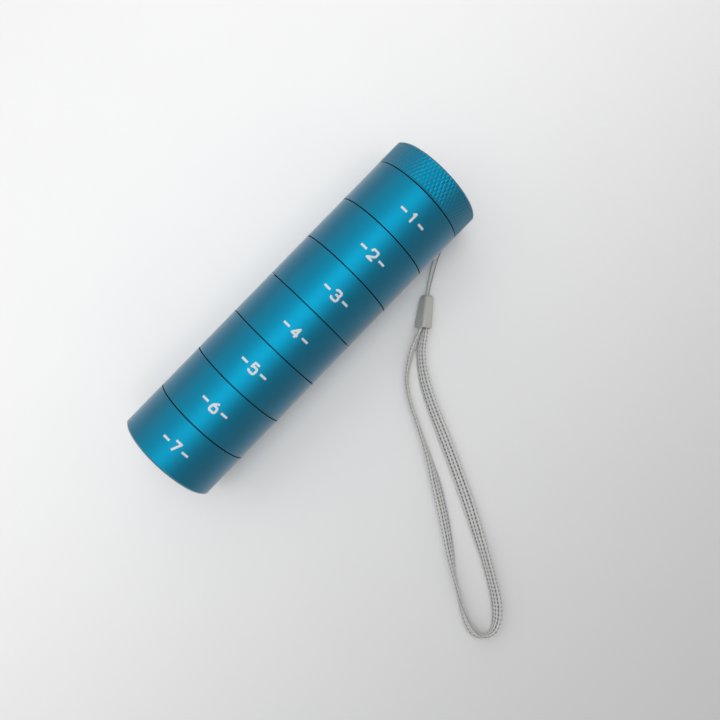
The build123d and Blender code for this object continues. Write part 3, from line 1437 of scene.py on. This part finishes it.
@dataclass(frozen=True)
class Lamp:
    """A soft studio light."""

    name: str
    place: Point
    aim: Point
    width: float
    depth: float
    power: float
    spread_degrees: float = 180.0

    def build(self) -> None:
        """Puts the light in the scene."""
        data = bpy.data.lights.new(self.name, "AREA")
        data.shape = "RECTANGLE"
        data.size = self.width
        data.size_y = self.depth
        data.energy = self.power
        data.spread = math.radians(self.spread_degrees)
        lamp = bpy.data.objects.new(self.name, data)
        lamp.location = self.place
        lamp.rotation_euler = (Vector(self.aim) - Vector(self.place)).to_track_quat("-Z", "Y").to_euler()
        bpy.context.scene.collection.objects.link(lamp)


@dataclass(frozen=True)
class Studio:
    """The table, the light and the camera."""

    table_size: float = 4.0
    ambient: float = 0.42
    # Each lamp's name, place, aim, width, depth, power and, where it is narrowed, spread in degrees
    lamps: tuple[Lamp, ...] = (
        Lamp("ceiling_panel", (0.0, 0.06, 0.5), (0.0, 0.09, 0.0), 0.9, 0.3, 0.43, 60.0),
        Lamp("sky_panel", (0.0, 0.35, 0.8), (0.0, 0.0, 0.0), 1.2, 0.5, 0.85),
        Lamp("window_panel", (0.0, 0.45, 0.36), (0.0, 0.0, 0.03), 1.6, 0.5, 1.6),
        Lamp("front_panel", (0.0, -0.17, 0.5), (0.0, 0.06, 0.0), 0.9, 0.16, 0.045, 30.0),
        Lamp("room_panel", (0.0, -0.75, 0.6), (0.0, 0.0, 0.03), 1.6, 0.8, 0.3),
    )
    eye: Point = (-2.19 * MM, -21.15 * MM, 234.81 * MM)
    right: Point = (0.6953, -0.7185, 0.0167)
    up: Point = (0.7183, 0.6955, 0.0172)
    focal_pixels: float = 727.49
    frame_pixels: float = 720.0
    sensor_millimetres: float = 36.0
    near_limit: float = 10 * MM

    def table(self) -> None:
        """Lays the table board."""
        half = self.table_size / 2
        points = np.array([(-half, -half, 0), (half, -half, 0), (half, half, 0), (-half, half, 0)])
        board = link_mesh("table_board", points, [(0, 1, 2, 3)])
        board.data.materials.append(TableFinish().material())

    def light(self) -> None:
        """Sets the room's even light and the lamps."""
        world = bpy.data.worlds.new("room")
        world.use_nodes = True
        background = world.node_tree.nodes["Background"]
        background.inputs["Color"].default_value = (1.0, 1.0, 1.0, 1.0)
        background.inputs["Strength"].default_value = self.ambient
        bpy.context.scene.world = world
        bpy.context.scene.view_settings.view_transform = "Standard"
        for lamp in self.lamps:
            lamp.build()

    def camera(self) -> None:
        """Sets the camera where the photograph was taken."""
        data = bpy.data.cameras.new("camera")
        data.sensor_width = self.sensor_millimetres
        data.lens = data.sensor_width * self.focal_pixels / self.frame_pixels
        data.clip_start = self.near_limit
        camera = bpy.data.objects.new("camera", data)
        right = Vector(self.right).normalized()
        back = right.cross(Vector(self.up)).normalized()
        axes = Matrix((right, back.cross(right), back)).transposed()
        camera.matrix_world = Matrix.Translation(self.eye) @ axes.to_4x4()
        bpy.context.scene.collection.objects.link(camera)
        bpy.context.scene.camera = camera

    def build(self) -> None:
        """Makes the whole studio."""
        self.table()
        self.light()
        self.camera()


def dress_node(name: str, material: bpy.types.Material) -> bpy.types.Object:
    """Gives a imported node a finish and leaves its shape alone.

    Args:
        name: The node's name.
        material: The finish.

    Returns:
        The node's object.
    """
    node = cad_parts[name]
    node.data.materials.clear()
    node.data.materials.append(material)
    return node


def main() -> None:
    """Builds the studio and every piece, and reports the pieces."""
    logging.basicConfig(level=logging.INFO, format="%(message)s")
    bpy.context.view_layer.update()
    joint = Joint.from_frame()
    anodised = AnodisedFinish(joint.axis_height).material()
    # The seams' painted shade
    seam = SeamShadeFinish(joint.axis_height).material()
    engraved = EngravedFinish().material()
    rubber = RubberFinish().material()
    Studio().build()
    pieces = [Cap(joint).build(anodised, seam)]
    for number, (day, turn) in enumerate(zip(DAYS, MARK_TURNS), start=1):
        cup = Cup(joint, number)
        pieces.append(cup.build(anodised, seam))
        pieces.append(CupMark(cup, turn).build(engraved))
        pieces.append(dress_node(f"{day}_seal", rubber))
    sleeve = dress_node("lanyard_sleeve", MouldedFinish().material())
    pieces.append(sleeve)
    pieces.append(LanyardString().build(StringFinish().material(), sleeve))
    pieces.append(WristStrap().build(TapeFinish().material(), sleeve))
    for piece in pieces:
        LOG.info("%s: %d faces in %s", piece.name, len(piece.data.polygons), piece.data.materials[0].name)


if __name__ == "__main__":
    main()
